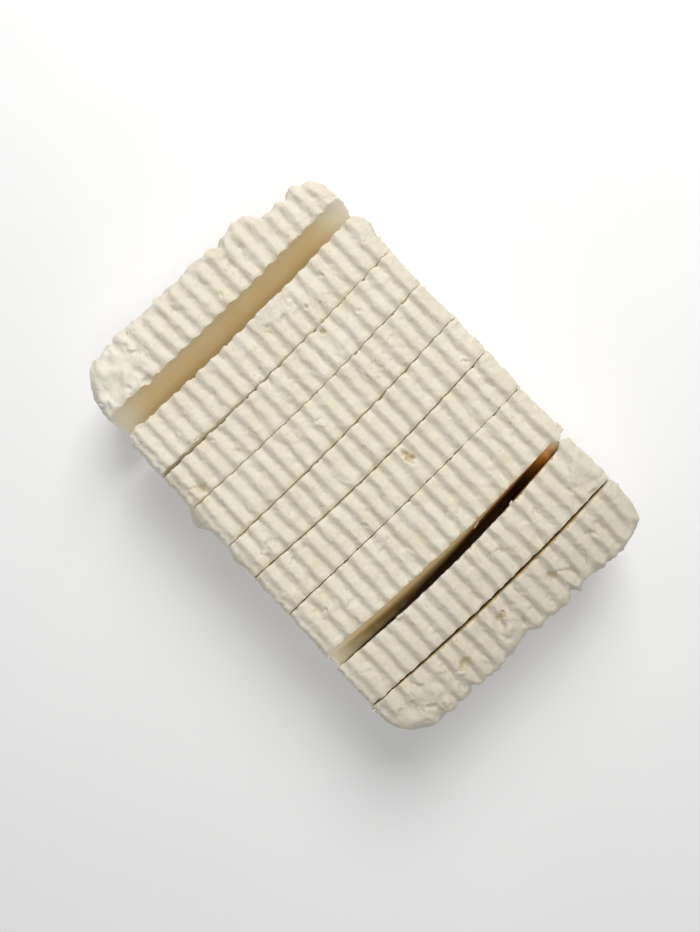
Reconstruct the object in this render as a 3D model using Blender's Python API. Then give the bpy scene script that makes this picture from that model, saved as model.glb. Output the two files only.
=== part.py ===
"""A block of halloumi, cut across into nine slices that still lie in the block's shape.

X runs across the block's ridges, +Y along the block towards its first slice, +Z up. The origin is under the
middle of the block, on the surface that it lies on. Sizes are in metres.
"""

import math

import bmesh
import bpy
from mathutils import Vector, noise

MM = 0.001

# The block
HALF_WIDTH = 38.9 * MM
HEIGHT = 28.0 * MM
FIRST_END = 61.3 * MM  # Y of the end face of the first slice
LAST_END = -60.9 * MM  # Y of the end face of the last slice
SPREAD = {"left": 2.4 * MM, "right": 0.7 * MM}  # how much further out each side lies at the last end
SIDE_BULGE = 1.5 * MM  # how far the sides and ends belly out at half height
SIDE_MARGIN = 7.0 * MM  # the unevenness of a side reaches this far into the block
TOP_RADIUS = 2.6 * MM  # the rounding from the ridged face to the sides and ends
BASE_RADIUS = 1.5 * MM
CORNER_RADII = {("first", "left"): 10.8 * MM, ("first", "right"): 7.4 * MM,
                ("last", "left"): 10.2 * MM, ("last", "right"): 7.0 * MM}

# The ridges that the mould leaves along the block
RIDGE_PITCH = 4.228 * MM
GROOVE_AT = -4.0 * MM  # X of one groove's lowest line
GROOVE_DEPTH = 0.95 * MM  # in the middle of the block
GROOVE_DEEPENING = 0.2  # the grooves are deeper by this share at the last end, and shallower at the first
GROOVE_SHAPE = ((0.0, 1.0), (0.24, 0.5), (0.5, 0.0), (0.76, 0.5))  # place in a pitch, share of the depth
PLAIN_MARGIN = 2.4 * MM  # along the block's edges the grooves fade out
FLUTE_DEPTH = 0.2 * MM  # the grooves run on faintly down the end faces

# The slices, from the first: thickness of each, then the open gap after it, at the left, middle and right
CLOSED = (0.35, 0.35, 0.35)
SLICES = (
    ((13.0, 13.5, 12.5), (6.7, 6.5, 5.8)),
    ((12.4, 12.1, 12.1), CLOSED),
    ((10.2, 10.7, 10.5), CLOSED),
    ((12.2, 11.5, 11.2), CLOSED),
    ((9.5, 10.7, 10.9), CLOSED),
    ((11.9, 10.9, 11.7), CLOSED),
    ((13.1, 14.5, 14.5), (4.3, 3.9, 2.4)),
    ((12.3, 12.4, 13.8), (0.35, 0.55, 0.35)),
    (None, None),  # the last slice takes what is left of the block
)
# The knife cuts run down towards the last end: their lean in degrees, at the left, middle and right. The
# slices beside an open gap have tipped apart, so their cuts meet again near the base.
CUT_LEAN = (8.0, 8.0, 8.0)
FRONT_LEANS = {1: (17.0, 17.0, 17.0), 7: (18.2, 15.5, 10.0)}
BACK_LEANS = {8: (11.0, 10.8, 5.8)}

# The first slice's end has broken away past BREAK_X
BREAK_X, BREAK_RUN, BREAK_DEPTH = 20.5 * MM, 1.6 * MM, 3.2 * MM

# Small pieces missing from the ends' top edges: end, X, half its width, depth
BITE_LEVELS = (8.0 * MM, 21.0 * MM)  # between these heights the pieces fade out downwards
BITES = (
    ("first", -2.6 * MM, 3.0 * MM, 0.6 * MM),
    ("first", 10.0 * MM, 1.8 * MM, 0.9 * MM),
    ("first", 29.0 * MM, 1.8 * MM, 0.7 * MM),
    ("last", -24.6 * MM, 1.3 * MM, 0.7 * MM),
    ("last", -19.0 * MM, 1.8 * MM, 1.1 * MM),
    ("last", -1.0 * MM, 4.5 * MM, 1.1 * MM),
    ("last", 14.4 * MM, 1.5 * MM, 1.6 * MM),
    ("last", 20.0 * MM, 4.0 * MM, 0.8 * MM),
    ("last", 25.2 * MM, 1.2 * MM, 0.6 * MM),
)

# Unevenness of the pressed curd
LUMP_SIZE, LUMP_HEIGHT = 8.5 * MM, 0.3 * MM
SIDE_LUMP_SIZE, SIDE_LUMP_HEIGHT = 6.0 * MM, 0.45 * MM
END_LUMP_SIZE, END_LUMP_HEIGHT = 3.4 * MM, 0.9 * MM

# Hollows in the ridged face: X, Y, radius along X, radius along Y, depth
HOLLOWS = (
    (14.9 * MM, 34.4 * MM, 0.8 * MM, 0.9 * MM, 0.9 * MM),
    (13.5 * MM, 27.7 * MM, 0.8 * MM, 1.4 * MM, 0.8 * MM),
    (7.8 * MM, -8.5 * MM, 1.3 * MM, 2.6 * MM, 1.4 * MM),
    (-2.4 * MM, -51.9 * MM, 1.8 * MM, 1.5 * MM, 1.1 * MM),
    (13.2 * MM, -53.1 * MM, 1.6 * MM, 1.6 * MM, 1.0 * MM),
    (-17.1 * MM, -54.0 * MM, 2.8 * MM, 1.4 * MM, 1.0 * MM),
    (-33.4 * MM, 20.6 * MM, 1.6 * MM, 2.2 * MM, 0.8 * MM),
)

# Where the ridges were pressed flat or crumbled: X, Y, half its length along X, half its width along Y,
# and the height of the crags there
CRAG_SIZE = 3.4 * MM
PATCH_FADE = (0.75, 1.15)  # a patch ends between these shares of its size
WORN_PATCHES = (
    (8.3 * MM, 39.8 * MM, 6.2 * MM, 3.0 * MM, 0.1 * MM),
    (-31.0 * MM, 54.5 * MM, 9.5 * MM, 6.5 * MM, 0.8 * MM),
    (-28.5 * MM, -54.5 * MM, 8.5 * MM, 4.8 * MM, 0.8 * MM),
    (-3.0 * MM, -57.0 * MM, 3.2 * MM, 3.0 * MM, 0.7 * MM),
    (35.0 * MM, -41.0 * MM, 3.2 * MM, 4.2 * MM, 0.5 * MM),
)

# Lumps that stand out of the long sides: side, Y, Z, half its length along Y, half its height, how far out
SIDE_LUMPS = (
    ("left", 15.4 * MM, 21.5 * MM, 4.6 * MM, 6.0 * MM, 2.1 * MM),
    ("left", 1.6 * MM, 21.0 * MM, 4.0 * MM, 6.0 * MM, 1.2 * MM),
    ("right", 39.4 * MM, 23.0 * MM, 4.4 * MM, 9.0 * MM, 1.2 * MM),
    ("left", -48.0 * MM, 23.5 * MM, 2.4 * MM, 5.0 * MM, 0.4 * MM),
)

# How finely the solids are divided
ROUNDING_STEPS = (0.0, 0.134, 0.5, 1.0)  # distances in from an edge, as shares of TOP_RADIUS
COLUMN_GAP = 0.3 * MM  # no column of a ridge lies nearer to the rounded edge than this
INNER_ROWS = 4  # rows across a slice's thickness
SIDE_LEVELS = (0.0, 0.3, 0.6, 0.82, 1.0)
ON_BASE = 1e-6 * MM  # points lower than this lie on the flat base
SHARP_ANGLE = math.radians(40.0)

CHEESE_COLOUR = (0.84, 0.79, 0.67, 1.0)
CHEESE_ROUGHNESS = 0.55


def smooth_step(low, high, value):
    share = min(max((value - low) / (high - low), 0.0), 1.0)
    return share * share * (3.0 - 2.0 * share)


def across(left_middle_right, x):
    """The value at x of the parabola through the values at the block's left side, middle and right side."""
    left, middle, right = left_middle_right
    t = x / HALF_WIDTH
    return middle + (right - left) / 2 * t + ((left + right) / 2 - middle) * t * t


def lumps(x, y, z, size):
    return noise.noise(Vector((x, y, z)) / size)


def bump(distance):
    """1 at the middle of a hollow or lump, falling smoothly to 0 at a distance of 1."""
    return (1.0 - distance * distance) ** 2 if distance < 1.0 else 0.0


# --- The block's own form ---

def groove(x):
    """How deep the grooves are at x, from 0 on a crest to 1 in a groove's lowest line."""
    place = ((x - GROOVE_AT) / RIDGE_PITCH) % 1.0
    points = GROOVE_SHAPE + ((1.0, 1.0),)
    for (start, depth), (end, next_depth) in zip(points, points[1:]):
        if place <= end:
            return depth + (next_depth - depth) * (place - start) / (end - start)
    return 1.0


def groove_depth(y):
    return GROOVE_DEPTH * (1.0 - GROOVE_DEEPENING * y / FIRST_END)


def end_line(which, x, z):
    """Y of the block's end at x and z before its corners are rounded: its break, bites, flutes and lumps."""
    end = LAST_END if which == "last" else FIRST_END
    inset = FLUTE_DEPTH * groove(x) * smooth_step(0.0, PLAIN_MARGIN, HALF_WIDTH - abs(x))
    inset += END_LUMP_HEIGHT * (0.5 + lumps(x, end, HEIGHT - z, END_LUMP_SIZE))
    for its_end, its_x, half_width, depth in BITES:
        if its_end == which:
            inset += depth * bump(abs(x - its_x) / half_width) * smooth_step(*BITE_LEVELS, z)
    if which == "last":
        return LAST_END + inset
    return FIRST_END - BREAK_DEPTH * smooth_step(BREAK_X - BREAK_RUN, BREAK_X + BREAK_RUN, x) - inset


def corner_of(which, x):
    """The corner's radius and how far x is past the start of its arc."""
    radius = CORNER_RADII[which, "left" if x < 0 else "right"]
    return radius, abs(x) - (HALF_WIDTH - radius)


def bulge(z):
    """How far out the block's sides and ends belly at a height."""
    return SIDE_BULGE * math.sin(math.pi * min(max(z / HEIGHT, 0.0), 1.0))


def end_outline(which, x, z):
    """Y of the block's end at x and z, with the rounded corners."""
    radius, past = corner_of(which, x)
    inset = radius - math.sqrt(max(radius ** 2 - max(past, 0.0) ** 2, 0.0)) - bulge(z)
    return end_line(which, x, z) - inset if which == "first" else end_line(which, x, z) + inset


def edge_distance(x, y, z):
    """How far inside the block's outline at a height a point of the plan is."""
    which = "first" if y > 0 else "last"
    radius, past = corner_of(which, x)
    past_end = radius - abs(end_line(which, x, z) - y)
    if past > 0 and past_end > 0:
        distance = radius - math.hypot(past, past_end)
    else:
        distance = min(radius - past, radius - past_end)
    return max(distance, 0.0)


def rounding(distance, radius):
    """How far a rounded edge has dropped at this distance in from it."""
    short = max(radius - distance, 0.0)
    return radius - math.sqrt(max(radius ** 2 - short ** 2, 0.0))


def side_offset(side, y, z):
    """How far out a long side lies from its plain line: its spread, belly, unevenness and lumps."""
    outward = SPREAD[side] * (0.5 - (y - LAST_END) / (FIRST_END - LAST_END)) + bulge(z)
    outward += SIDE_LUMP_HEIGHT * lumps(HALF_WIDTH if side == "right" else -HALF_WIDTH, y, z, SIDE_LUMP_SIZE)
    for its_side, its_y, its_z, half_length, half_height, height in SIDE_LUMPS:
        if side == its_side:
            outward += height * bump(math.hypot((y - its_y) / half_length, (z - its_z) / half_height))
    return outward


def widened(x, y, z):
    """x moved out with the side that it is near."""
    side = "left" if x < 0 else "right"
    share = smooth_step(HALF_WIDTH - SIDE_MARGIN, HALF_WIDTH, abs(x))
    return x + math.copysign(side_offset(side, y, z) * share, x)


def top_height(x, y):
    """Z of the ridged face over a point of the plan."""
    inside = edge_distance(x, y, HEIGHT)
    z = HEIGHT - rounding(inside, TOP_RADIUS)
    depth = groove_depth(y) * groove(x) * smooth_step(0.0, PLAIN_MARGIN, inside)
    for its_x, its_y, half_length, half_width, crag_height in WORN_PATCHES:
        wear = 1.0 - smooth_step(*PATCH_FADE, math.hypot((x - its_x) / half_length, (y - its_y) / half_width))
        depth += wear * (crag_height * (0.5 + lumps(x, y, 0.0, CRAG_SIZE)) - depth)
    for its_x, its_y, radius_x, radius_y, hollow_depth in HOLLOWS:
        depth += hollow_depth * bump(math.hypot((x - its_x) / radius_x, (y - its_y) / radius_y))
    return z - depth + LUMP_HEIGHT * (lumps(x, y, 0.0, LUMP_SIZE) - 0.5)


# --- The cuts ---

def cut_edges():
    """For each slice, its back and front edges on the ridged face: Y at the left, middle and right."""
    edges = []
    back = None
    for thickness, gap in SLICES:
        if thickness is None:
            edges.append((back, None))
            break
        start = back or (FIRST_END,) * 3
        front = tuple(y - size * MM for y, size in zip(start, thickness))
        edges.append((back, front))
        back = tuple(y - size * MM for y, size in zip(front, gap))
    return edges


def cut_y(edge, lean, x, z):
    """Y of a knife cut at x and z, from its edge on the ridged face and its lean in degrees."""
    return across(edge, x) - (HEIGHT - z) * math.tan(math.radians(across(lean, x)))


# --- The solids ---

def columns():
    """The X of each column of points: the rounded edges, and four columns to each ridge between them."""
    rounded = [step * TOP_RADIUS for step in ROUNDING_STEPS]
    inner = HALF_WIDTH - TOP_RADIUS
    places = [-HALF_WIDTH + step for step in rounded] + [HALF_WIDTH - step for step in rounded]
    first = math.floor((-inner - GROOVE_AT) / RIDGE_PITCH)
    for ridge in range(first, -first + 2):
        for place, _ in GROOVE_SHAPE:
            x = GROOVE_AT + (ridge + place) * RIDGE_PITCH
            if abs(x) < inner - COLUMN_GAP:
                places.append(x)
    return sorted(places)


class Slice:
    """One slice, as a box of points whose faces are shaped by the functions above."""

    def __init__(self, number, back, front):
        self.name = f"slice_{number}"
        self.back, self.front = back, front
        self.back_lean = BACK_LEANS.get(number, CUT_LEAN)
        self.front_lean = FRONT_LEANS.get(number, CUT_LEAN)
        self.columns = columns()
        self.rows = self.row_places()
        self.mesh = bmesh.new()
        self.points = {}

    def row_places(self):
        """Distances in from the outer end, then shares of the rest: (distance, share) for each row."""
        outer_rows = [(step * TOP_RADIUS, 0.0) for step in ROUNDING_STEPS]
        inner_rows = [(TOP_RADIUS, (row + 1) / (INNER_ROWS - 1)) for row in range(INNER_ROWS - 1)]
        if self.back is None:
            return outer_rows + inner_rows
        if self.front is None:
            return [(distance, 1.0 - share) for distance, share in reversed(outer_rows + inner_rows)]
        return [(0.0, row / INNER_ROWS) for row in range(INNER_ROWS + 1)]

    def y_at(self, row, x, z):
        """Y of a row at x and z, between the slice's two faces."""
        distance, share = self.rows[row]
        if self.back is None:
            start = end_outline("first", x, z) - distance
        else:
            start = cut_y(self.back, self.back_lean, x, z)
        if self.front is None:
            stop = end_outline("last", x, z) + distance
        else:
            stop = cut_y(self.front, self.front_lean, x, z)
        return start + (stop - start) * share

    def point(self, column, row, level):
        """The vertex at a place on the box of points, made the first time that it is asked for."""
        key = column, row, level
        if key not in self.points:
            plain_x = self.columns[column]
            z = BASE_RADIUS + SIDE_LEVELS[level] * (HEIGHT - TOP_RADIUS - BASE_RADIUS)
            x = widened(plain_x, self.y_at(row, plain_x, z), z)
            if level == len(SIDE_LEVELS) - 1:
                z = top_height(plain_x, self.y_at(row, plain_x, HEIGHT))
            elif level == 0:
                z = rounding(edge_distance(plain_x, self.y_at(row, plain_x, 0.0), 0.0), BASE_RADIUS)
            self.points[key] = self.mesh.verts.new((x, self.y_at(row, plain_x, z), z))
        return self.points[key]

    def face(self, *keys):
        self.mesh.faces.new([self.point(*key) for key in keys])

    def build(self):
        last_column, last_row, top = len(self.columns) - 1, len(self.rows) - 1, len(SIDE_LEVELS) - 1
        for column in range(last_column):
            for row in range(last_row):
                self.face((column, row, top), (column, row + 1, top),
                          (column + 1, row + 1, top), (column + 1, row, top))
                self.face((column, row, 0), (column + 1, row, 0),
                          (column + 1, row + 1, 0), (column, row + 1, 0))
        for row in range(last_row):
            for level in range(top):
                for column, (near, far) in ((0, (row + 1, row)), (last_column, (row, row + 1))):
                    self.face((column, near, level), (column, near, level + 1),
                              (column, far, level + 1), (column, far, level))
        self.wall(0, self.back is None, last_column, top)
        self.wall(last_row, self.front is None, last_column, top)
        self.level_base()
        bmesh.ops.recalc_face_normals(self.mesh, faces=self.mesh.faces)
        return self.mesh

    def wall(self, row, is_end, last_column, top):
        """A slice's upright face: an end of the block, in levels, or a knife cut, in one facet per column."""
        all_levels, outer_levels = range(top + 1), (0, top)
        for column in range(last_column):
            if is_end:
                for level in range(top):
                    self.face((column, row, level), (column, row, level + 1),
                              (column + 1, row, level + 1), (column + 1, row, level))
                continue
            left_side = all_levels if column == 0 else outer_levels
            right_side = all_levels if column == last_column - 1 else outer_levels
            self.face(*[(column, row, level) for level in left_side],
                      *[(column + 1, row, level) for level in reversed(right_side)])

    def level_base(self):
        """Makes the flat part of the base one face."""
        flat = [face for face in self.mesh.faces if all(abs(vertex.co.z) < ON_BASE for vertex in face.verts)]
        bmesh.ops.dissolve_faces(self.mesh, faces=flat)


def cheese_material(name):
    material = bpy.data.materials.new(name)
    material.use_nodes = True
    shader = material.node_tree.nodes["Principled BSDF"]
    shader.inputs["Base Color"].default_value = CHEESE_COLOUR
    shader.inputs["Roughness"].default_value = CHEESE_ROUGHNESS
    shader.inputs["Metallic"].default_value = 0.0
    return material


def add_slice(number, back, front):
    piece = Slice(number, back, front)
    mesh = bpy.data.meshes.new(piece.name)
    piece.build().to_mesh(mesh)
    piece.mesh.free()
    mesh.shade_smooth()
    mesh.set_sharp_from_angle(angle=SHARP_ANGLE)
    mesh.materials.append(cheese_material(f"{piece.name}_cheese"))
    bpy.context.scene.collection.objects.link(bpy.data.objects.new(piece.name, mesh))


def main():
    for old in list(bpy.data.objects):
        bpy.data.objects.remove(old)
    for number, (back, front) in enumerate(cut_edges(), start=1):
        add_slice(number, back, front)


main()
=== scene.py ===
"""The looks of a block of halloumi that is cut into nine slices: fine curd over each CAD slice.

X runs across the block's ridges, +Y along the block towards its first slice, +Z up. Sizes are in
metres, unless a comment says mm.
"""

import math

import bmesh
import bpy
import numpy as np
from mathutils import Matrix, Vector, noise


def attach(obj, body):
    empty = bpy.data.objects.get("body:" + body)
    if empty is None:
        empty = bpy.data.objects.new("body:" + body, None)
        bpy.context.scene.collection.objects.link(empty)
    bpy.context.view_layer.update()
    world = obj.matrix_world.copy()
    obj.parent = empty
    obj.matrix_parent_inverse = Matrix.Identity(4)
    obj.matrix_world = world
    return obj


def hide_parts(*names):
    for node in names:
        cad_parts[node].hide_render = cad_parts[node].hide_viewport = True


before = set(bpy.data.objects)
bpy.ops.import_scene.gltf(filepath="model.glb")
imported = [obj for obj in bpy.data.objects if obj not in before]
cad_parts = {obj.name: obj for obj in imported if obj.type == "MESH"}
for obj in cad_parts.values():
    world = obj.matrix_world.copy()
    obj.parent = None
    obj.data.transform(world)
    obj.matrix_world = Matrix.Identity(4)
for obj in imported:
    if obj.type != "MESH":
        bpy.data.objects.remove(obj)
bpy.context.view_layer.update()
MM = 0.001

# -------------------------------------------------------------------------------------------------
# Sizes that the CAD slices are built from
# -------------------------------------------------------------------------------------------------
HALF_WIDTH = 38.9 * MM
HEIGHT = 28.0 * MM
FIRST_END, LAST_END = 61.3 * MM, -60.9 * MM
SPREAD = {"left": 2.4 * MM, "right": 0.7 * MM}
SIDE_BULGE = 1.5 * MM
SIDE_MARGIN = 7.0 * MM
TOP_RADIUS, BASE_RADIUS = 2.6 * MM, 1.5 * MM
CORNER_RADII = {("first", "left"): 10.8 * MM, ("first", "right"): 7.4 * MM,
                ("last", "left"): 10.2 * MM, ("last", "right"): 7.0 * MM}

RIDGE_PITCH = 4.228 * MM
GROOVE_AT = -4.0 * MM
GROOVE_DEPTH = 0.95 * MM
GROOVE_DEEPENING = 0.2
PLAIN_MARGIN = 2.4 * MM
FLUTE_DEPTH = 0.2 * MM

CLOSED = (0.35, 0.35, 0.35)
SLICES = (
    ((13.0, 13.5, 12.5), (6.7, 6.5, 5.8)),
    ((12.4, 12.1, 12.1), CLOSED),
    ((10.2, 10.7, 10.5), CLOSED),
    ((12.2, 11.5, 11.2), CLOSED),
    ((9.5, 10.7, 10.9), CLOSED),
    ((11.9, 10.9, 11.7), CLOSED),
    ((13.1, 14.5, 14.5), (4.3, 3.9, 2.4)),
    ((12.3, 12.4, 13.8), (0.35, 0.55, 0.35)),
    (None, None),
)
CUT_LEAN = (8.0, 8.0, 8.0)
FRONT_LEANS = {1: (17.0, 17.0, 17.0), 7: (18.2, 15.5, 10.0)}
BACK_LEANS = {8: (11.0, 10.8, 5.8)}

BREAK_X, BREAK_RUN, BREAK_DEPTH = 20.5 * MM, 1.6 * MM, 3.2 * MM
BITE_LEVELS = (8.0 * MM, 21.0 * MM)
BITES = (
    ("first", -2.6 * MM, 3.0 * MM, 0.6 * MM),
    ("first", 10.0 * MM, 1.8 * MM, 0.9 * MM),
    ("first", 29.0 * MM, 1.8 * MM, 0.7 * MM),
    ("last", -24.6 * MM, 1.3 * MM, 0.7 * MM),
    ("last", -19.0 * MM, 1.8 * MM, 1.1 * MM),
    ("last", -1.0 * MM, 4.5 * MM, 1.1 * MM),
    ("last", 14.4 * MM, 1.5 * MM, 1.6 * MM),
    ("last", 20.0 * MM, 4.0 * MM, 0.8 * MM),
    ("last", 25.2 * MM, 1.2 * MM, 0.6 * MM),
)

LUMP_SIZE, LUMP_HEIGHT = 8.5 * MM, 0.3 * MM
SIDE_LUMP_SIZE, SIDE_LUMP_HEIGHT = 6.0 * MM, 0.45 * MM
END_LUMP_SIZE, END_LUMP_HEIGHT = 3.4 * MM, 0.9 * MM
HOLLOWS = (
    (14.9 * MM, 34.4 * MM, 0.8 * MM, 0.9 * MM, 0.9 * MM),
    (13.5 * MM, 27.7 * MM, 0.8 * MM, 1.4 * MM, 0.8 * MM),
    (7.8 * MM, -8.5 * MM, 1.3 * MM, 2.6 * MM, 1.4 * MM),
    (-2.4 * MM, -51.9 * MM, 1.8 * MM, 1.5 * MM, 1.1 * MM),
    (13.2 * MM, -53.1 * MM, 1.6 * MM, 1.6 * MM, 1.0 * MM),
    (-17.1 * MM, -54.0 * MM, 2.8 * MM, 1.4 * MM, 1.0 * MM),
    (-33.4 * MM, 20.6 * MM, 1.6 * MM, 2.2 * MM, 0.8 * MM),
)
CRAG_SIZE = 3.4 * MM
WORN_PATCHES = (
    (8.3 * MM, 39.8 * MM, 6.2 * MM, 3.0 * MM, 0.1 * MM),
    (-31.0 * MM, 54.5 * MM, 9.5 * MM, 6.5 * MM, 0.8 * MM),
    (-28.5 * MM, -54.5 * MM, 8.5 * MM, 4.8 * MM, 0.8 * MM),
    (-3.0 * MM, -57.0 * MM, 3.2 * MM, 3.0 * MM, 0.7 * MM),
    (35.0 * MM, -41.0 * MM, 3.2 * MM, 4.2 * MM, 0.5 * MM),
)
SIDE_LUMPS = (
    ("left", 15.4 * MM, 21.5 * MM, 4.6 * MM, 6.0 * MM, 2.1 * MM),
    ("left", 1.6 * MM, 21.0 * MM, 4.0 * MM, 6.0 * MM, 1.2 * MM),
    ("right", 39.4 * MM, 23.0 * MM, 4.4 * MM, 9.0 * MM, 1.2 * MM),
    ("left", -48.0 * MM, 23.5 * MM, 2.4 * MM, 5.0 * MM, 0.4 * MM),
)

# -------------------------------------------------------------------------------------------------
# The fine surface
# -------------------------------------------------------------------------------------------------
COLUMN_STEP = 0.23 * MM  # spacing of the points across the ridges
ROW_STEP = 0.24 * MM  # and along them
LEVEL_STEP = 0.5 * MM  # and down the sides and ends
ARC_STEPS, BASE_ARC_STEPS = 11, 5  # steps round a rounded top edge and round a rounded base edge
# The upright faces hang from the ridged face down to this height, with levels at these shares of
# the way down
SKIRT_TOP = 24.2 * MM
SKIRT_SHARES = (0.0, 0.06, 0.15, 0.28, 0.45, 0.64, 0.82, 1.0)
SHARP_ANGLE = 50.0  # degrees between two facets from which their edge is shaded sharp

# The faces of each slice that can be seen into, and so are modelled finely
OPEN_CUTS = {1: ("front",), 2: ("back",), 7: ("front",), 8: ("back", "front"), 9: ("back",)}

# Layers of unevenness that add up: the height, size of lump and seed of each. The edges of the
# hollows, creases and patches are uneven by a share of their radius
GROOVE_WANDER = ((0.22 * MM, 8.0 * MM, 11), (0.12 * MM, 2.4 * MM, 12))
GROOVE_CHANGE = ((0.2, 6.0 * MM, 13),)  # of its depth, as a share
END_CRUMBS = ((0.3 * MM, 1.3 * MM, 14),)
SIDE_CRUMBS = ((0.26 * MM, 1.7 * MM, 15), (0.16 * MM, 0.8 * MM, 16))
HOLLOW_EDGE = ((0.3, 1.3 * MM, 21), (0.15, 0.6 * MM, 22))
CREASE_EDGE = ((0.35, 1.0 * MM, 23),)
PATCH_EDGE = ((0.25, 1.7 * MM, 24),)
TORN_EDGE = ((0.08, 0.6 * MM, 61), (0.09, 2.0 * MM, 62))  # mm
TOUCH_WANDER = ((0.7, 2.0 * MM, 64),)  # mm
DARK_WANDER = ((1.6, 2.6 * MM, 65),)  # mm

# The ridged face. A pattern is given by its size of lump and its seed, and FROM says between which
# of its values a form grows to its full share
FILLING, FILLING_FROM, FILLING_SHARE = (3.6 * MM, 25), (0.35, 0.8), 0.4  # of the grooves
RAGGED_WITHIN = 1.5  # radii from the middle of a hollow or crease within which its edge is ragged
CREASE_BEND = 0.25  # how far a crease's ends bend to one side, as a share of its half length
PATCH_FADE = (0.75, 1.15)  # radii from a worn patch's middle between which it fades
PATCH_CREASES = (0.6, 0.6, 1.2, 1.3, 0.9)  # how strongly each is creased between its crumbs
CRUMBS, CRUMB_RISE, CRUMB_ROUNDING = (4.0 * MM, 26), 0.35, 0.25  # in the worn patches
WORN_GROOVES = 0.3  # the share of the grooves that a worn patch keeps

# The curd's relief: the patterns of its lumps, its seams and its pits, with their heights in mm
COARSE, MIDDLE, FINE, FINEST = (2.7 * MM, 31), (1.25 * MM, 32), (0.62 * MM, 33), (0.34 * MM, 34)
COARSE_HEIGHT, MIDDLE_HEIGHT, FINE_HEIGHT, FINEST_HEIGHT = 0.13, 0.075, 0.04, 0.018
SEAMS, SEAM_BEND, SEAM_WIDTH, SEAM_DEPTH = (2.0 * MM, 35), 0.3, 0.17, 0.15
SEAM_AREAS, SEAM_AREAS_FROM, SEAM_LUMPS_FROM = (5.5 * MM, 36), (0.05, 0.55), (-0.2, 0.4)
PITS, PITS_FROM, PIT_DEPTH = (0.95 * MM, 37), (0.55, 0.95), 0.16
PIT_AREAS, PIT_AREAS_FROM = (4.5 * MM, 38), (0.15, 0.6)
CREVICE_SHARE = 0.6  # how deep in a crevice the bottom of a seam or a pit counts
SMOOTH_CORNER = (-32.0 * MM, 55.0 * MM, 14.0 * MM)  # X, Y and radius of a corner with few crevices
SMOOTHING = 0.6  # the share of the smaller lumps that is worn off there
RELIEF_FADE = 1.2 * MM  # the height above the base at which the relief has its full height

# The top edges of the cuts
TEAR_WIDTH, TEAR_DROP = 1.3 * MM, 2.4 * MM  # how far in and down from an edge its raggedness fades
NOTCHES, NOTCHES_FROM, NOTCH_DEPTH = (1.4 * MM, 63), (0.45, 0.9), 0.3  # depth in mm
ROLL_WIDTH, ROLL_DROP = 0.75 * MM, 0.2 * MM  # how far in and down an edge is rolled over
NONE = (0.0, 0.0, 0.0)  # at the left, middle and right
# How far each side's ragged skin reaches into the closed cut after a slice: mm at the left, in the
# middle and at the right
REACH = {2: (-0.34, -0.12, 0.0), 3: (-0.1, -0.02, -0.03), 4: (-0.15, -0.12, -0.02),
         5: (-0.22, -0.16, 0.06), 6: (-0.13, 0.07, 0.06), 8: (-0.02, -0.2, -0.22)}

# The closed cuts
NICK_DROPS = (0.0, 0.32 * MM)  # the faces of a closed cut come together between these depths
NICK_REACH = {2: (0.05, 0.12, 0.16)}  # each by so many mm, at the left, middle and right
NICK_REACH_ELSEWHERE = (0.16, 0.16, 0.16)
NICK_LEVEL = 4  # the level, counted from the top, at which a plain cut's facets turn
CLOSED_PALENESS = 0.7  # of their curd, which is seen at its outer edge alone
CLOSED_SHADE = {2: (0.5, 0.2, 0.0)}  # painted shade that darkens the curd in it, at the left, middle and right

# The paler curd at the two sides of a cut face, in a narrow band and a wide one: the distances from
# the side between which each fades, and how pale the wide one is. The wide one is partly paler curd
# and partly painted light, where light comes into a cut from the block's sides
RIND, LIT_PALE_BAND, LIT_PALE_SHARE = (0.595 * MM, 1.7 * MM), (1.5 * MM, 12.0 * MM), 0.8

# The second open cut, of slices that still touch at their foot and at both ends: the slice before
# it, and the slope of the ledge where they touch, as a height and as a share of its depth. Then X,
# from which depth they nearly touch, and how wide a crevice is left, all in mm
TOUCH_AFTER, TOUCH_EDGE, TOUCH_EDGE_SHARE = 7, 1.2 * MM, 0.15
TOUCH_X = (-41.0, -37.5, -33.0, -26.0, -18.0, -10.0, 24.0, 28.0, 30.5, 33.0, 35.8, 37.2, 38.3)
TOUCH_FROM = (4.0, 8.0, 10.5, 14.0, 18.0, 23.0, 21.0, 13.0, 6.5, 3.4, 1.2, 1.2, 26.0)
TOUCH_GAP = (0.1, 0.35, 0.65, 1.0, 1.3, 0.5, 0.1, 0.1, 0.1, 0.1, 0.1, 0.1, 0.1)

# Near its right end the skins of both slices reach across it and meet
MEET_X, MEET_RUN, MEET_REACH = 36.9 * MM, 2.0 * MM, 1.1 * MM

# How far down its faces are seen before they are lost in the dark, and how dark the painted shade
# makes them: X and depth in mm, and a share
DARK_X = (-39.0, -36.0, -28.0, -20.0, -13.0, -6.0, 0.0, 5.7, 13.0, 20.0, 24.0, 27.0, 30.0, 34.5,
          38.0)
DARK_FROM = (10.0, 12.0, 16.0, 19.0, 18.5, 16.5, 14.0, 10.5, 4.0, 0.3, 0.3, 0.3, 0.3, 0.3, 0.3)
DARK_SHARE = (0.5, 1.0, 1.0, 1.0, 1.0, 0.95, 0.9, 0.85, 0.8, 0.75, 0.75, 0.65, 0.52, 0.38, 0.0)
DARK_RUN = 5.0 * MM  # over how much more depth they get so dark
FAR_DARK = 1.5 * MM  # how much deeper the dark starts on the slice behind the cut

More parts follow.
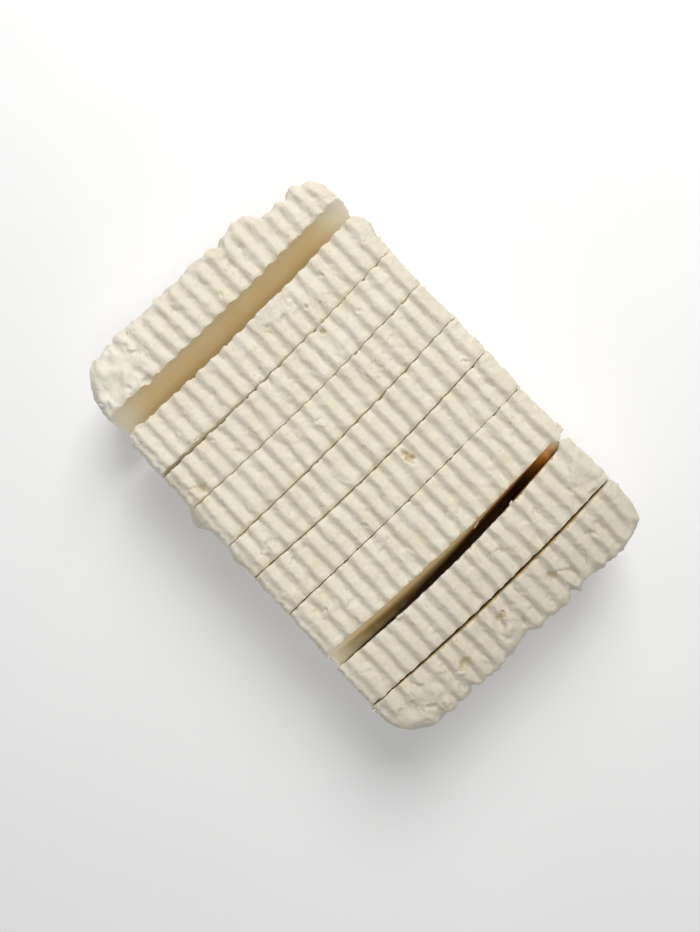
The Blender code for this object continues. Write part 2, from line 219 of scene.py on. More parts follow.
# Flakes that stick to a slice: its number, X, Y, depth, length, width, thickness, and direction in
# degrees
FLAKES = (
    (7, 8.6 * MM, -32.4 * MM, 4.0 * MM, 2.2 * MM, 0.5 * MM, 0.4 * MM, 14),
    (8, 18.3 * MM, -34.2 * MM, 3.0 * MM, 1.3 * MM, 0.6 * MM, 0.5 * MM, 24),
    (8, -20.0 * MM, -35.1 * MM, 0.7 * MM, 2.2 * MM, 0.9 * MM, 0.5 * MM, 4),
    (9, -40.4 * MM, -47.6 * MM, 1.9 * MM, 2.0 * MM, 0.5 * MM, 0.4 * MM, -4),
    (2, -34.0 * MM, 41.2 * MM, 0.9 * MM, 3.2 * MM, 1.3 * MM, 0.6 * MM, -18),
    (2, 39.2 * MM, 34.5 * MM, 2.6 * MM, 1.6 * MM, 0.9 * MM, 0.8 * MM, 15),
    (4, 38.7 * MM, 6.6 * MM, 1.7 * MM, 1.5 * MM, 0.6 * MM, 0.5 * MM, 35),
    (5, 38.9 * MM, -5.0 * MM, 1.9 * MM, 1.3 * MM, 0.6 * MM, 0.5 * MM, -20),
    (7, 38.9 * MM, -15.2 * MM, 1.9 * MM, 1.2 * MM, 0.6 * MM, 0.5 * MM, 20),
    (1, -36.6 * MM, 51.6 * MM, 1.4 * MM, 2.6 * MM, 2.0 * MM, 1.1 * MM, 40),
    (1, -33.4 * MM, 55.6 * MM, 1.3 * MM, 2.4 * MM, 1.8 * MM, 1.1 * MM, 15),
)
FLAKE_RINGS, FLAKE_SIDES = 8, 12
FLAKE_LUMPS, FLAKE_SEEDS = 0.9 * MM, (71, 72, 73)  # of their unevenness along X, Y and Z
FLAKE_WARP, FLAKE_RISE = 0.22, 0.3  # as shares of their width and thickness
FLAKE_SHADE = (2.0 * MM, 4.5 * MM)  # depths in a cut between which they get darker with painted shade

# Creases and chips in the ridged face: X, Y, half its length, half its width, direction, depth
CREASES = (
    (2.1 * MM, 50.7 * MM, 1.0 * MM, 0.6 * MM, 60, 0.6 * MM),
    (-24.9 * MM, 48.6 * MM, 2.4 * MM, 1.2 * MM, -18, 1.1 * MM),
    (-8.8 * MM, 55.5 * MM, 1.6 * MM, 0.7 * MM, 70, 0.5 * MM),
    (8.9 * MM, 54.8 * MM, 1.6 * MM, 0.9 * MM, 80, 0.7 * MM),
    (-16.0 * MM, 34.6 * MM, 1.2 * MM, 0.6 * MM, 30, 0.4 * MM),
    (22.6 * MM, 37.9 * MM, 1.5 * MM, 0.6 * MM, -50, 0.5 * MM),
    (3.6 * MM, 36.8 * MM, 1.6 * MM, 0.5 * MM, -40, 0.5 * MM),
    (-34.2 * MM, 20.7 * MM, 2.9 * MM, 0.8 * MM, -49, 0.8 * MM),
    (23.8 * MM, 24.7 * MM, 1.7 * MM, 0.7 * MM, -60, 0.5 * MM),
    (-23.6 * MM, 26.9 * MM, 1.0 * MM, 0.6 * MM, -40, 0.5 * MM),
    (-1.5 * MM, 12.6 * MM, 1.7 * MM, 0.9 * MM, -30, 0.6 * MM),
    (-32.8 * MM, 13.8 * MM, 1.6 * MM, 0.9 * MM, 70, 0.6 * MM),
    (24.4 * MM, 15.1 * MM, 1.0 * MM, 0.8 * MM, 20, 0.5 * MM),
    (-31.0 * MM, -0.4 * MM, 2.3 * MM, 1.0 * MM, 10, 0.6 * MM),
    (33.4 * MM, -1.2 * MM, 1.6 * MM, 0.6 * MM, -35, 0.6 * MM),
    (-29.2 * MM, -7.3 * MM, 1.1 * MM, 0.8 * MM, 30, 0.7 * MM),
    (-25.6 * MM, -7.0 * MM, 0.8 * MM, 0.6 * MM, 0, 0.6 * MM),
    (34.0 * MM, -9.0 * MM, 2.6 * MM, 1.0 * MM, -70, 0.7 * MM),
    (-11.2 * MM, -13.4 * MM, 1.5 * MM, 0.6 * MM, -60, 0.4 * MM),
    (-26.8 * MM, -24.7 * MM, 1.7 * MM, 0.9 * MM, 20, 0.6 * MM),
    (-32.0 * MM, -21.6 * MM, 1.4 * MM, 0.7 * MM, 75, 0.5 * MM),
    (8.1 * MM, -40.3 * MM, 1.6 * MM, 0.8 * MM, -55, 0.8 * MM),
    (-34.6 * MM, -39.1 * MM, 1.6 * MM, 0.7 * MM, -45, 0.6 * MM),
    (20.8 * MM, -39.5 * MM, 1.8 * MM, 0.7 * MM, 65, 0.5 * MM),
    (16.6 * MM, -54.8 * MM, 3.2 * MM, 0.9 * MM, -50, 0.8 * MM),
    (0.6 * MM, -56.3 * MM, 2.0 * MM, 0.8 * MM, 62, 0.9 * MM),
    (27.4 * MM, -52.4 * MM, 2.4 * MM, 0.8 * MM, -60, 0.6 * MM),
    (-30.4 * MM, -55.6 * MM, 3.2 * MM, 0.9 * MM, -25, 0.7 * MM),
)


def smooth_step(low, high, value):
    share = np.clip((value - low) / (high - low), 0.0, 1.0)
    return share * share * (3.0 - 2.0 * share)


def across(left_middle_right, x):
    """The value at x of a parabola through the values at the block's left, middle and right."""
    left, middle, right = left_middle_right
    t = x / HALF_WIDTH
    return middle + (right - left) / 2 * t + ((left + right) / 2 - middle) * t * t


def lumps(x, y, z, size):
    """The CAD's unevenness, on arrays."""
    x, y, z = np.broadcast_arrays(x, y, z)
    points = np.stack([x, y, z], axis=-1).reshape(-1, 3) / size
    return np.array([noise.noise(point) for point in points.tolist()]).reshape(x.shape)


SEED_SHIFT = np.array([7.31, 3.17, 5.23])  # in lumps, how far each seed moves the pattern
NOISE_GAIN = 1.6  # brings the noise to about -1 to 1


def uneven(x, y, z, size, seed):
    """Smooth unevenness from about -1 to 1, in lumps of this size, different for each seed."""
    shift = size * SEED_SHIFT * seed
    return NOISE_GAIN * lumps(x + shift[0], y + shift[1], z + shift[2], size)


def layered(x, y, z, layers, start=0.0):
    """start and layers of unevenness, each of a height, a size of lump and a seed, added up."""
    return sum((height * uneven(x, y, z, size, seed) for height, size, seed in layers), start)


def bump(distance):
    """1 at the middle of a hollow or lump, falling smoothly to 0 at a distance of 1."""
    return np.clip(1.0 - distance * distance, 0.0, None) ** 2


# --- The block's own form, as in the CAD but smooth ---

def groove(x, y):
    """How deep the grooves are, from 0 on a crest to 1 in a groove's lowest line. They wander."""
    wander = layered(x, y, 0.0, GROOVE_WANDER)
    return 0.5 + 0.5 * np.cos(2.0 * math.pi * (x + wander - GROOVE_AT) / RIDGE_PITCH)


def groove_depth(y):
    return GROOVE_DEPTH * (1.0 - GROOVE_DEEPENING * y / FIRST_END)


def end_line(which, x, z):
    """Y of the block's end at x and z before its corners are rounded."""
    end = LAST_END if which == "last" else FIRST_END
    inset = FLUTE_DEPTH * groove(x, end) * smooth_step(0.0, PLAIN_MARGIN, HALF_WIDTH - np.abs(x))
    inset = inset + END_LUMP_HEIGHT * (0.5 + lumps(x, end, HEIGHT - z, END_LUMP_SIZE))
    inset = layered(x, end, HEIGHT - z, END_CRUMBS, inset)
    for its_end, its_x, half_width, depth in BITES:
        if its_end == which:
            inset = inset + depth * bump((x - its_x) / half_width) * smooth_step(*BITE_LEVELS, z)
    if which == "last":
        return LAST_END + inset
    step = BREAK_DEPTH * smooth_step(BREAK_X - BREAK_RUN, BREAK_X + BREAK_RUN, x)
    return FIRST_END - step - inset


def corner_of(which, x):
    """The corner's radius and how far x is past the start of its arc."""
    radius = np.where(x < 0, CORNER_RADII[which, "left"], CORNER_RADII[which, "right"])
    return radius, np.abs(x) - (HALF_WIDTH - radius)


def bulge(z):
    """How far out the block's sides and ends belly at a height."""
    return SIDE_BULGE * np.sin(math.pi * np.clip(z / HEIGHT, 0.0, 1.0))


def end_outline(which, x, z):
    """Y of the block's end at x and z, with the rounded corners."""
    radius, past = corner_of(which, x)
    past = np.clip(past, 0.0, None)
    inset = radius - np.sqrt(np.clip(radius ** 2 - past ** 2, 0.0, None)) - bulge(z)
    return end_line(which, x, z) - inset if which == "first" else end_line(which, x, z) + inset


def edge_distance(x, y):
    """How far inside the outline of the ridged face each point of the plan is."""
    distances = []
    for which in ("first", "last"):
        radius, past = corner_of(which, x)
        past_end = radius - np.abs(end_line(which, x, HEIGHT) - y)
        in_corner = (past > 0) & (past_end > 0)
        plain = np.minimum(radius - past, radius - past_end)
        distances.append(np.where(in_corner, radius - np.hypot(past, past_end), plain))
    return np.clip(np.where(y > 0, distances[0], distances[1]), 0.0, None)


def rounding(distance, radius):
    """How far a rounded edge has dropped at this distance in from it."""
    short = np.clip(radius - distance, 0.0, None)
    return radius - np.sqrt(np.clip(radius ** 2 - short ** 2, 0.0, None))


def side_offset(x, y, z):
    """How far out a long side lies from its plain line: its spread, belly, unevenness and lumps."""
    spread = np.where(x < 0, SPREAD["left"], SPREAD["right"])
    outward = spread * (0.5 - (y - LAST_END) / (FIRST_END - LAST_END)) + bulge(z)
    side = np.where(x < 0, -HALF_WIDTH, HALF_WIDTH)
    outward = outward + SIDE_LUMP_HEIGHT * lumps(side, y, z, SIDE_LUMP_SIZE)
    outward = layered(side, y, z, SIDE_CRUMBS, outward)
    for its_side, its_y, its_z, half_length, half_height, height in SIDE_LUMPS:
        on_side = (x < 0) == (its_side == "left")
        distance = np.hypot((y - its_y) / half_length, (z - its_z) / half_height)
        outward = outward + on_side * height * bump(distance)
    return outward


def widened(x, y, z):
    """x moved out with the side that it is near."""
    share = smooth_step(HALF_WIDTH - SIDE_MARGIN, HALF_WIDTH, np.abs(x))
    moved = np.zeros(np.shape(x))
    near = share > 0
    moved[near] = side_offset(x[near], y[near], z[near]) * share[near] * np.sign(x[near])
    return x + moved


def ragged_bump(distance, ragged):
    """1 at the middle of a hollow or crease, falling smoothly to 0 at its ragged edge."""
    return bump(np.clip(distance + ragged * (distance < RAGGED_WITHIN), 0.0, 1.0))


def hollowed(x, y):
    """The depth of the hollows in the ridged face."""
    ragged = layered(x, y, 0.0, HOLLOW_EDGE)
    depth = np.zeros(np.shape(x))
    for its_x, its_y, radius_x, radius_y, its_depth in HOLLOWS:
        distance = np.hypot((x - its_x) / radius_x, (y - its_y) / radius_y)
        depth += its_depth * ragged_bump(distance, ragged)
    return depth


def creased(x, y):
    """The depth of the creases and chips in the ridged face."""
    ragged = layered(x, y, 0.0, CREASE_EDGE)
    depth = np.zeros(np.shape(x))
    for its_x, its_y, half_length, half_width, direction, its_depth in CREASES:
        turn = math.radians(direction)
        along = (x - its_x) * math.cos(turn) + (y - its_y) * math.sin(turn)
        over = (y - its_y) * math.cos(turn) - (x - its_x) * math.sin(turn)
        over = over + CREASE_BEND * along * along / half_length
        distance = np.hypot(along / half_length, over / half_width)
        depth += its_depth * ragged_bump(distance, ragged)
    return depth


def top_height(x, y):
    """Z of the ridged face, before the fine curd relief."""
    inside = edge_distance(x, y)
    z = HEIGHT - rounding(inside, TOP_RADIUS)
    filled = smooth_step(*FILLING_FROM, uneven(x, y, 0.0, *FILLING))
    depth = groove_depth(y) * groove(x, y) * smooth_step(0.0, PLAIN_MARGIN, inside)
    depth *= (1.0 + layered(x, y, 0.0, GROOVE_CHANGE)) * (1.0 - FILLING_SHARE * filled)
    ragged = layered(x, y, 0.0, PATCH_EDGE)
    creases = CRUMB_RISE - np.hypot(uneven(x, y, 0.0, *CRUMBS), CRUMB_ROUNDING)
    for patch, creasing in zip(WORN_PATCHES, PATCH_CREASES):
        its_x, its_y, half_length, half_width, crag_height = patch
        distance = np.hypot((x - its_x) / half_length, (y - its_y) / half_width) + ragged
        wear = 1.0 - smooth_step(*PATCH_FADE, distance)
        crag = 0.5 + lumps(x, y, 0.0, CRAG_SIZE) + creasing * creases
        crag = crag + WORN_GROOVES * depth / GROOVE_DEPTH
        depth += wear * (crag_height * crag - depth)
    depth += hollowed(x, y) + creased(x, y)
    return z - depth + LUMP_HEIGHT * (lumps(x, y, 0.0, LUMP_SIZE) - 0.5)


def cut_edges():
    """Each slice's back and front edges on the ridged face: Y at the left, middle and right."""
    edges = []
    back = None
    for thickness, gap in SLICES:
        if thickness is None:
            edges.append((back, None))
            break
        start = back or (FIRST_END,) * 3
        front = tuple(y - size * MM for y, size in zip(start, thickness))
        edges.append((back, front))
        back = tuple(y - size * MM for y, size in zip(front, gap))
    return edges


def cut_y(edge, lean, x, z):
    """Y of a knife cut at x and z, from its edge on the ridged face and its lean in degrees."""
    return across(edge, x) - (HEIGHT - z) * np.tan(np.radians(across(lean, x)))


# --- The curd's fine relief ---

def curd_relief(points):
    """How far the curd stands out at each point, and how deep in a crevice that is, from 0 to 1."""
    x, y, z = points.T
    smooth_x, smooth_y, smooth_radius = SMOOTH_CORNER
    worn = np.hypot(x - smooth_x, y - smooth_y) / smooth_radius
    sharp = 1.0 - bump(np.clip(worn, 0.0, 1.0))
    coarse, middle = uneven(x, y, z, *COARSE), uneven(x, y, z, *MIDDLE)
    fine, finest = uneven(x, y, z, *FINE), uneven(x, y, z, *FINEST)
    seam = np.abs(uneven(x, y, z, *SEAMS) + SEAM_BEND * middle)
    seam = 1.0 - smooth_step(0.0, SEAM_WIDTH, seam)
    areas = smooth_step(*SEAM_AREAS_FROM, uneven(x, y, z, *SEAM_AREAS))
    seam *= areas * smooth_step(*SEAM_LUMPS_FROM, coarse)
    pit = smooth_step(*PITS_FROM, uneven(x, y, z, *PITS))
    pit *= smooth_step(*PIT_AREAS_FROM, uneven(x, y, z, *PIT_AREAS))
    seam, pit = seam * sharp, pit * sharp
    smaller = (MIDDLE_HEIGHT * middle + FINE_HEIGHT * fine) * (1.0 - SMOOTHING + SMOOTHING * sharp)
    height = COARSE_HEIGHT * coarse + smaller + FINEST_HEIGHT * finest
    height = height - SEAM_DEPTH * seam - PIT_DEPTH * pit
    return height * MM, np.clip(CREVICE_SHARE * seam + CREVICE_SHARE * pit, 0.0, 1.0)


def torn(x, number, face):
    """How far a cut's ragged top edge lies back from the cut at x."""
    cut, side = number * 10.0 * MM, 0.0 if face == "back" else 5.0 * MM  # its place in the pattern
    notch = smooth_step(*NOTCHES_FROM, uneven(x, cut, side, *NOTCHES))
    return MM * (layered(x, cut, side, TORN_EDGE) + NOTCH_DEPTH * notch)


def touching(x, z, depth, edge, lean):
    """How far a face of the second open cut reaches across it, to touch the next slice."""
    next_edge = cut_edges()[TOUCH_AFTER][0]
    gap = cut_y(edge, lean, x, z) - cut_y(next_edge, BACK_LEANS[TOUCH_AFTER + 1], x, z)
    upper = MM * np.interp(x / MM + layered(x, 0.0, 0.0, TOUCH_WANDER), TOUCH_X, TOUCH_FROM)
    reach = np.clip(gap - MM * np.interp(x / MM, TOUCH_X, TOUCH_GAP), 0.0, None)
    return reach * smooth_step(0.0, TOUCH_EDGE + TOUCH_EDGE_SHARE * upper, depth - upper)


def flake(x, y, z, length, width, thickness, direction):
    """The points and faces of a small uneven flake of curd."""
    turn = math.radians(direction)
    ring = np.linspace(0.0, math.pi, FLAKE_RINGS)[:, None]
    side = np.linspace(0.0, 2.0 * math.pi, FLAKE_SIDES, endpoint=False)[None, :]
    along = np.broadcast_to(np.cos(ring), (FLAKE_RINGS, FLAKE_SIDES)) * length / 2
    over = np.sin(ring) * np.cos(side) * width / 2
    up = np.sin(ring) * np.sin(side) * thickness / 2
    its_x = x + along * math.cos(turn) - over * math.sin(turn)
    its_y = y + along * math.sin(turn) + over * math.cos(turn)
    points = np.stack([its_x, its_y, z + up], axis=-1).reshape(-1, 3)
    warps = [uneven(*points.T, FLAKE_LUMPS, seed) for seed in FLAKE_SEEDS[:2]]
    points[:, :2] += FLAKE_WARP * width * np.stack(warps, axis=-1)
    points[:, 2] += FLAKE_RISE * thickness * uneven(*points.T, FLAKE_LUMPS, FLAKE_SEEDS[2])
    faces = []
    for row in range(FLAKE_RINGS - 1):
        for place in range(FLAKE_SIDES):
            after = (place + 1) % FLAKE_SIDES
            faces.append([row * FLAKE_SIDES + place, row * FLAKE_SIDES + after,
                          (row + 1) * FLAKE_SIDES + after, (row + 1) * FLAKE_SIDES + place])
    return points, faces


class Slice:
    """One slice: a box of points, in columns along X, rows along Y and levels along Z."""

    def __init__(self, number, back, front):
        self.number, self.back, self.front = number, back, front
        self.back_lean = BACK_LEANS.get(number, CUT_LEAN)
        self.front_lean = FRONT_LEANS.get(number, CUT_LEAN)
        self.columns = self.column_places()
        self.row_distance, self.row_share = self.row_places()
        self.level_z, self.level_inset = self.level_places()
        self.number_points()

    @staticmethod
    def arc():
        return TOP_RADIUS * (1.0 - np.cos(np.linspace(0.0, math.pi / 2, ARC_STEPS + 1)))

    def column_places(self):
        inner = HALF_WIDTH - TOP_RADIUS
        middle = np.linspace(-inner, inner, int(round(2 * inner / COLUMN_STEP)) + 1)
        arc = self.arc()[:-1]
        return np.concatenate([-HALF_WIDTH + arc, middle, (HALF_WIDTH - arc)[::-1]])

    def row_places(self):
        """Distances in from the block's end, then shares of the rest, for each row."""
        thickness = (self.back or (FIRST_END,) * 3)[1] - (self.front or (LAST_END,) * 3)[1]
        if self.back is not None and self.front is not None:
            share = np.linspace(0.0, 1.0, int(thickness / ROW_STEP) + 1)
            return np.zeros(len(share)), share
        inner = np.linspace(0.0, 1.0, int((thickness - TOP_RADIUS) / ROW_STEP) + 1)[1:]
        distance = np.concatenate([self.arc(), np.full(len(inner), TOP_RADIUS)])
        share = np.concatenate([np.zeros(ARC_STEPS + 1), inner])
        return (distance, share) if self.back is None else (distance[::-1], 1.0 - share[::-1])

    @staticmethod
    def level_places():
        """Z and inset of the plain levels, from the base up to SKIRT_TOP."""
        turn = np.linspace(0.0, math.pi / 2, BASE_ARC_STEPS + 1)[:-1]
        steps = int((SKIRT_TOP - BASE_RADIUS) / LEVEL_STEP)
        plain = np.linspace(BASE_RADIUS, SKIRT_TOP, steps + 1)
        z = np.concatenate([BASE_RADIUS * (1.0 - np.cos(turn)), plain])
        inset = np.concatenate([BASE_RADIUS * (1.0 - np.sin(turn)), np.zeros(len(plain))])
        return z, inset

    def is_fine(self, face):
        """Whether a face is modelled finely: the block's ends, and cuts that can be seen into."""
        edge = self.back if face == "back" else self.front
        return edge is None or face in OPEN_CUTS.get(self.number, ())

    def number_points(self):
        """Numbers the points that are used: the skin, and the edges of the plain cut faces."""
        levels = len(self.level_z) + len(SKIRT_SHARES) - 1
        used = np.zeros((len(self.columns), len(self.row_share), levels), bool)
        self.last = last = tuple(count - 1 for count in used.shape)
        used[:, :, last[2]] = True
        used[0], used[last[0]] = True, True
        for face, row in (("back", 0), ("front", last[1])):
            used[:, row, :] |= self.is_fine(face)
            used[:, row, [0, last[2] - NICK_LEVEL]] = True
        self.index = np.full(used.shape, -1, np.int64)
        self.keys = np.argwhere(used)
        self.index[used] = np.arange(len(self.keys))

    def y_at(self, distance, share, x, z):
        """Y between the slice's two faces, at x and z."""
        if self.back is None:
            start = end_outline("first", x, z) - distance
        else:
            start = cut_y(self.back, self.back_lean, x, z)
        if self.front is None:
            stop = end_outline("last", x, z) + distance
        else:
            stop = cut_y(self.front, self.front_lean, x, z)
        return start + (stop - start) * share

    def ridged_face(self):
        """The ridged face's height over every column and row."""
        column, row = np.indices((len(self.columns), len(self.row_share)))
        x, row = self.columns[column.ravel()], row.ravel()
        y = self.y_at(self.row_distance[row], self.row_share[row], x, HEIGHT)
        return top_height(x, y).reshape(column.shape)

    def points(self):
        """Every point that is used, before the curd's relief."""
        column, row, level = self.keys.T
        plain_x = self.columns[column]
        distance, share = self.row_distance[row], self.row_share[row]
        top = self.ridged_face()[column, row]
        plain_levels = len(self.level_z) - 1
        z = self.level_z[np.minimum(level, plain_levels)]
        hanging = np.clip(level - plain_levels, 0, len(SKIRT_SHARES) - 1)
        shares = np.array(SKIRT_SHARES[::-1])[hanging]
        z = np.where(level > plain_levels, top + (SKIRT_TOP - top) * shares, z)
        inset = self.level_inset[np.minimum(level, plain_levels)]
        x = widened(plain_x, self.y_at(distance, share, plain_x, z), z) * (1.0 - inset / HALF_WIDTH)
        y = self.y_at(distance, share, plain_x, z)
        if self.back is None:
            y = y - inset * (1.0 - share)
        if self.front is None:
            y = y + inset * share
        y, z = self.tear(x, y, z, top, row)
        return np.stack([x, y, z], axis=-1)

    def tear(self, x, y, z, top, row):
        """Makes the cuts ragged and rolled over at the top, and closes them where they touch."""
        for face, edge, first_row in (("back", self.back, 0), ("front", self.front, self.last[1])):
            if edge is None:
                continue
            cut, inward = (self.number - 1, -1.0) if face == "back" else (self.number, 1.0)
            rows_in, depth = np.abs(row - first_row) * ROW_STEP, top - z
            near_rows = 1.0 - smooth_step(0.0, TEAR_WIDTH, rows_in)
            fade = near_rows * (1.0 - smooth_step(0.0, TEAR_DROP, depth))
            near = fade > 0
            reach = across(REACH.get(cut, NONE), x[near]) * MM
            if cut == TOUCH_AFTER:
                reach = reach + MEET_REACH * bump((x[near] - MEET_X) / MEET_RUN)
            y[near] += inward * (torn(x[near], self.number, face) - reach) * fade[near]
            if not self.is_fine(face):
                nick = across(NICK_REACH.get(cut, NICK_REACH_ELSEWHERE), x) * MM
                y -= inward * nick * smooth_step(*NICK_DROPS, depth) * near_rows
            if cut == TOUCH_AFTER and face == "front":
                y -= touching(x, z, depth, self.front, self.front_lean) * near_rows
            roll = 1.0 - smooth_step(0.0, ROLL_WIDTH, rows_in)
            z = z - ROLL_DROP * roll * (z > SKIRT_TOP)
        return y, z

    def quads(self, face):
        """The quads of one face of the box, facing out."""
        index = self.index
        grid = {
            "top": index[:, ::-1, -1], "left": index[0, ::-1, :].T, "right": index[-1, ::-1, :],
            "back": index[:, 0, :].T, "front": index[:, -1, :],
        }[face]
        corners = [grid[:-1, :-1], grid[1:, :-1], grid[1:, 1:], grid[:-1, 1:]]
        return np.stack([corner.reshape(-1) for corner in corners], axis=-1)

    def plain_cut(self, row):
        """A cut face that can't be seen into: a facet a column, with every level at both sides."""
        faces = []
        turn = self.last[2] - NICK_LEVEL
        for column in range(self.last[0]):
            for low, high in ((0, turn), (turn, self.last[2])):
                left = self.index[column, row, low:high + 1]
                right = self.index[column + 1, row, low:high + 1]
                left = left if column == 0 else left[[0, -1]]
                right = right if column == self.last[0] - 1 else right[[0, -1]]
                faces.append([*left, *right[::-1]])
        return faces

    def base(self):
        """The flat base, as one loop of points."""
        back, front = self.index[:, 0, 0], self.index[:, -1, 0]
        left, right = self.index[0, 1:-1, 0], self.index[-1, 1:-1, 0]
        return [*back, *right, *front[::-1], *left[::-1]]

    def build(self):
        """The slice's mesh, with its cut faces in the second material."""
        points = self.points()
        skin = [self.quads("top"), self.quads("left"), self.quads("right")]
        cuts, plain = [], []
        for face, edge, row in (("back", self.back, 0), ("front", self.front, self.last[1])):
            if edge is None:
                skin.append(self.quads(face))
            elif self.is_fine(face):
                cuts.append(self.quads(face))
            else:
                plain += self.plain_cut(row)
        skin = np.concatenate(skin)
        points, crevice = self.raise_curd(points, skin)
        faces = [quad for part in cuts for quad in part.tolist()] + plain
        is_cut = [1] * len(faces)
        faces += skin.tolist() + [self.base()]
        shades = self.shades(points, crevice)
        for number, x, y, depth, *form in FLAKES:
            if number == self.number:
                its_points, its_faces = flake(x, y, HEIGHT - depth, *form)
                faces += (np.array(its_faces) + len(points)).tolist()
                points = np.concatenate([points, its_points])
                # flakes deep in a cut get painted shade through the crevice colour
                shade = np.full(len(its_points), smooth_step(*FLAKE_SHADE, depth))
                shades["crevice"] = np.concatenate([shades["crevice"], shade])
        mesh = bpy.data.meshes.new(f"halloumi_{self.number}")
        mesh.from_pydata(points.tolist(), [], faces)
        is_cut += [0] * (len(faces) - len(is_cut))
        mesh.polygons.foreach_set("material_index", is_cut)
        for name, values in shades.items():
            values = np.pad(values, (0, len(points) - len(values))).astype(np.float32)
            mesh.attributes.new(name, "FLOAT", "POINT").data.foreach_set("value", values)
        mesh.update()
        self.face_out(mesh)
        mesh.shade_smooth()
        mesh.set_sharp_from_angle(angle=math.radians(SHARP_ANGLE))
        return mesh

    def shades(self, points, crevice):
        """What the materials read at each point, from 0 to 1."""
        side_distance = HALF_WIDTH - np.abs(self.columns[self.keys[:, 0]])
        rind_and_lit_band = 1.0 - smooth_step(*RIND, side_distance)
        # the wide band: paler curd with painted light from the block's sides
        rind_and_lit_band = np.maximum(rind_and_lit_band, LIT_PALE_SHARE * (1.0 - smooth_step(*LIT_PALE_BAND, side_distance)))
        closed_cut_shade = np.zeros(len(points))
        for face, row, cut in (("back", 0, self.number - 1), ("front", self.last[1], self.number)):
            if not self.is_fine(face):
                in_cut = self.keys[:, 1] == row
                rind_and_lit_band = np.maximum(rind_and_lit_band, CLOSED_PALENESS * in_cut)
                # painted shade in a closed cut, where the table lists one
                closed_cut_shade += across(CLOSED_SHADE.get(cut, NONE), points[:, 0]) * in_cut
        return {"crevice": crevice, "rind_and_lit_band": rind_and_lit_band, "closed_cut_shade": closed_cut_shade, "dark": self.darkness(points)}

    def darkness(self, points):
        """How much painted shade each point gets in the dark of the second open cut, from 0 to 1.
        """
        if self.number not in (TOUCH_AFTER, TOUCH_AFTER + 1):
            return np.zeros(len(points))
        x, depth = points[:, 0], HEIGHT - points[:, 2]
        start = MM * np.interp(x / MM + layered(x, 0.0, 0.0, DARK_WANDER), DARK_X, DARK_FROM)
        row = self.last[1]
        if self.number != TOUCH_AFTER:
            start, row = start + FAR_DARK, 0
        share = np.interp(x / MM, DARK_X, DARK_SHARE) * (self.keys[:, 1] == row)
        return smooth_step(start, start + DARK_RUN, depth) * share

    @staticmethod
    def face_out(mesh):
        """Turns every face of the mesh outwards."""
        work = bmesh.new()
        work.from_mesh(mesh)
        bmesh.ops.recalc_face_normals(work, faces=work.faces)
        work.to_mesh(mesh)
        work.free()

    @staticmethod
    def raise_curd(points, skin):
        """Moves the skin's points out or in along its normals by the curd's relief."""
        a, b, c, d = (points[skin[:, corner]] for corner in range(4))
        facing = np.cross(c - a, d - b)
        normals = np.zeros(points.shape)
        for corner in range(4):
            np.add.at(normals, skin[:, corner], facing)
        length = np.linalg.norm(normals, axis=1)
        on_skin = length > 0
        normals[on_skin] /= length[on_skin][:, None]
        height, crevice = np.zeros(len(points)), np.zeros(len(points))
        height[on_skin], crevice[on_skin] = curd_relief(points[on_skin])
        crevice[on_skin] = np.maximum(crevice[on_skin], hollowed(*points[on_skin].T[:2]) / MM)
        fade = smooth_step(0.0, RELIEF_FADE, points[:, 2])
        return points + normals * (height * fade)[:, None], np.clip(crevice, 0.0, 1.0) * fade


# -------------------------------------------------------------------------------------------------
# Materials
# -------------------------------------------------------------------------------------------------
# The colours of the skin
CREAM, PALE_CREAM = (0.765, 0.695, 0.562, 1.0), (0.8, 0.74, 0.625, 1.0)
# The crevice colour is a yellower tint of the curd with painted shade, in seams, pits, hollows and
# deep flakes
WHEY, CREVICE_TINT_AND_SHADE = (0.74, 0.65, 0.48, 1.0), (0.56, 0.44, 0.25, 1.0)
# The skin gets greyer with painted shade towards the last end, where less light falls, and is
# whiter at the first end's left corner: its colour there, the way to it, and how far along that way
# it begins and is complete
SHADED_CREAM, WHITE_CREAM = (0.645, 0.585, 0.475, 1.0), (0.86, 0.81, 0.7, 1.0)
SHADE_WAY, SHADE_FROM = (0.0, -1.0, 0.0), (26.0 * MM, 62.0 * MM)
WHITE_WAY, WHITE_FROM = (-0.9, 1.0, 0.0), (58.0 * MM, 88.0 * MM)

# The colours of the cut faces: their body and its paler edge, the olive painted shade of a closed
# cut, and two steps of painted shade, warm and then deep, into the dark of the second open one
CUT_BODY, CUT_DEEP = (0.92, 0.8, 0.55, 1.0), (0.89, 0.745, 0.475, 1.0)
CUT_EDGE, OLIVE_SHADE = (0.98, 0.91, 0.78, 1.0), (0.42, 0.34, 0.16, 1.0)
WARM_GAP_SHADE, DARK = (0.75, 0.42, 0.11, 1.0), (0.44, 0.28, 0.18, 1.0)

FLOOR_GREY, FLOOR_WHITE = (0.955, 0.955, 0.955, 1.0), (0.975, 0.975, 0.975, 1.0)

SKIN_ROUGHNESS, CUT_ROUGHNESS, FLOOR_ROUGHNESS = (0.45, 0.65), (0.36, 0.5), (0.6, 0.75)
KNIFE_STRETCH = (0.06, 1.0, 1.0)  # draws the noise out into lines along X
MOST = (0.3, 0.7)  # the range that holds most of a noise's values
MIX_SHARE, MIX_FIRST, MIX_SECOND, MIX_COLOUR = 0, 6, 7, 2  # a Mix node's sockets for colours


